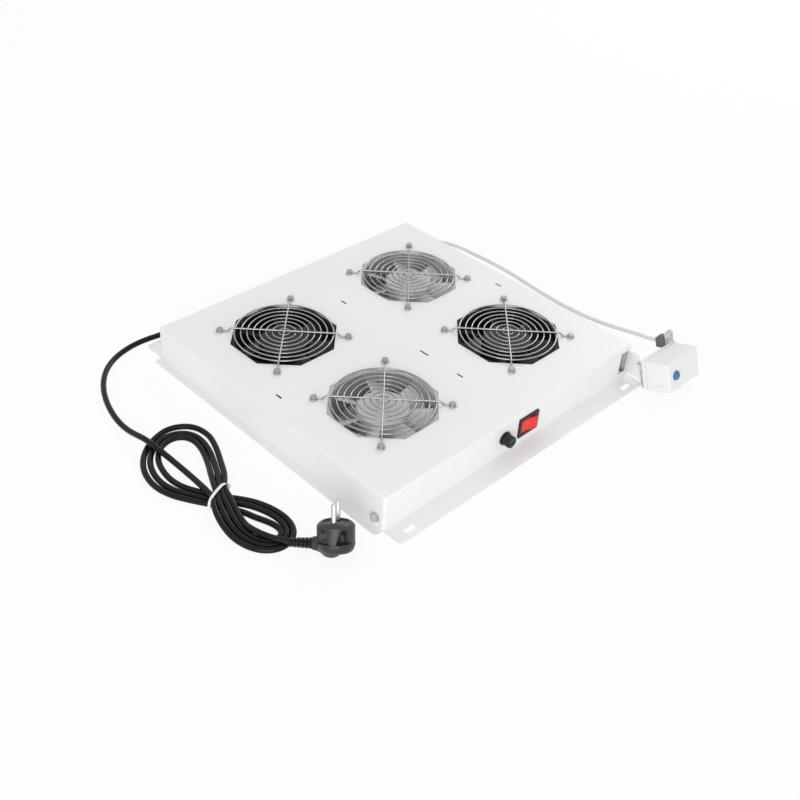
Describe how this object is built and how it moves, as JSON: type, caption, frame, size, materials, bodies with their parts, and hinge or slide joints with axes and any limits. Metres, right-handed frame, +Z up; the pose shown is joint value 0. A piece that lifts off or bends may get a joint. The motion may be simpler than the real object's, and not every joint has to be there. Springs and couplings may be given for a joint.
{
  "type": "rack fan tray",
  "caption": "Folded steel rack tray with guarded axial fans, a rocker switch, a fuse holder, a thermostat on a side bracket and a bundled mains cord.",
  "frame": {"origin": "centre of the tray's four slotted flange holes, on the underside of the flanges", "axes": "+X towards the thermostat end, +Y from the switch wall to the back wall, +Z up out of the top face that carries the finger guards"},
  "size_m": [0.6028, 0.4959, 0.0551],
  "materials": {
    "tray_paint": "satin powder coat",
    "zinc_steel": "galvanised",
    "bright_wire": "bright plated",
    "black_frame": "satin",
    "silver_frame": "satin die-cast",
    "black_impeller": "matt",
    "grey_impeller": "matt",
    "lamination": "varnished",
    "black_plastic": "matt",
    "red_plastic": "gloss",
    "tinned_brass": "satin",
    "fuse_glass": "clear",
    "grey_housing": "fine grain",
    "blue_dial": "satin",
    "black_rubber": "matt",
    "grey_cord": "satin",
    "white_tie": "satin"
  },
  "bodies": {
    "root": {"tray_pan": "tray_paint", "guard_screws": "bright_wire", "guard_nuts": "zinc_steel", "switch_housing": "black_plastic", "switch_terminals": "tinned_brass", "fuse_holder": "black_plastic", "fuse_nut": "black_plastic", "fuse_terminals": "tinned_brass", "thermostat_housing": "grey_housing", "thermostat_base": "grey_housing", "thermostat_bracket": "zinc_steel", "bracket_rivets": "zinc_steel", "thermostat_boot": "black_rubber", "mains_gland": "black_plastic", "gland_nut": "black_plastic", "lead_bush": "black_plastic", "earth_screw": "zinc_steel", "earth_washer": "zinc_steel", "earth_nut": "zinc_steel", "block_studs": "zinc_steel", "block_nuts": "zinc_steel", "terminal_block": "white_tie", "terminal_screws": "tinned_brass", "mains_cord": "black_rubber", "thermostat_lead": "grey_cord", "cord_hank": "black_rubber", "cable_tie": "white_tie", "plug_body": "black_rubber", "plug_pins": "tinned_brass", "plug_relief": "black_rubber", "fan_frame_back_left": "black_frame", "fan_motor_mount_back_left": "black_frame", "fan_stator_back_left": "lamination", "fan_guard_back_left": "bright_wire", "fan_frame_back_right": "silver_frame", "fan_motor_mount_back_right": "silver_frame", "fan_stator_back_right": "lamination", "fan_guard_back_right": "bright_wire", "fan_frame_front_right": "black_frame", "fan_motor_mount_front_right": "black_frame", "fan_stator_front_right": "lamination", "fan_guard_front_right": "bright_wire", "fan_frame_front_left": "silver_frame", "fan_motor_mount_front_left": "silver_frame", "fan_stator_front_left": "lamination", "fan_guard_front_left": "bright_wire"},
    "switch_rocker": {"switch_rocker": "red_plastic"},
    "fuse_cap": {"fuse_cap": "black_plastic", "fuse_link": "fuse_glass"},
    "thermostat_dial": {"thermostat_dial": "blue_dial"},
    "fan_rotor_back_left": {"fan_rotor_back_left": "black_impeller"},
    "fan_rotor_back_right": {"fan_rotor_back_right": "grey_impeller"},
    "fan_rotor_front_right": {"fan_rotor_front_right": "black_impeller"},
    "fan_rotor_front_left": {"fan_rotor_front_left": "grey_impeller"}
  },
  "joints": [
    {"name": "fan_spin_back_left", "type": "hinge", "parent": "root", "child": "fan_rotor_back_left", "pos_m": [-0.0985, 0.08625, 0.02], "axis": [0, 0, 1], "continuous": true},
    {"name": "fan_spin_back_right", "type": "hinge", "parent": "root", "child": "fan_rotor_back_right", "pos_m": [0.1025, 0.08625, 0.02], "axis": [0, 0, 1], "continuous": true},
    {"name": "fan_spin_front_right", "type": "hinge", "parent": "root", "child": "fan_rotor_front_right", "pos_m": [0.1025, -0.08025, 0.02], "axis": [0, 0, 1], "continuous": true},
    {"name": "fan_spin_front_left", "type": "hinge", "parent": "root", "child": "fan_rotor_front_left", "pos_m": [-0.0985, -0.08025, 0.02], "axis": [0, 0, 1], "continuous": true},
    {"name": "switch_rock", "type": "hinge", "parent": "root", "child": "switch_rocker", "pos_m": [0.0145, -0.188, 0.0235], "axis": [0, 0, 1], "range_deg": [0, 24]},
    {"name": "fuse_cap_turn", "type": "hinge", "parent": "root", "child": "fuse_cap", "pos_m": [-0.0235, -0.195, 0.0235], "axis": [0, -1, 0], "range_deg": [-90, 0]},
    {"name": "dial_turn", "type": "hinge", "parent": "root", "child": "thermostat_dial", "pos_m": [0.206, -0.2504, 0.03015], "axis": [0, -0.9426, 0.3338], "range_deg": [-135, 135]}
  ]
}
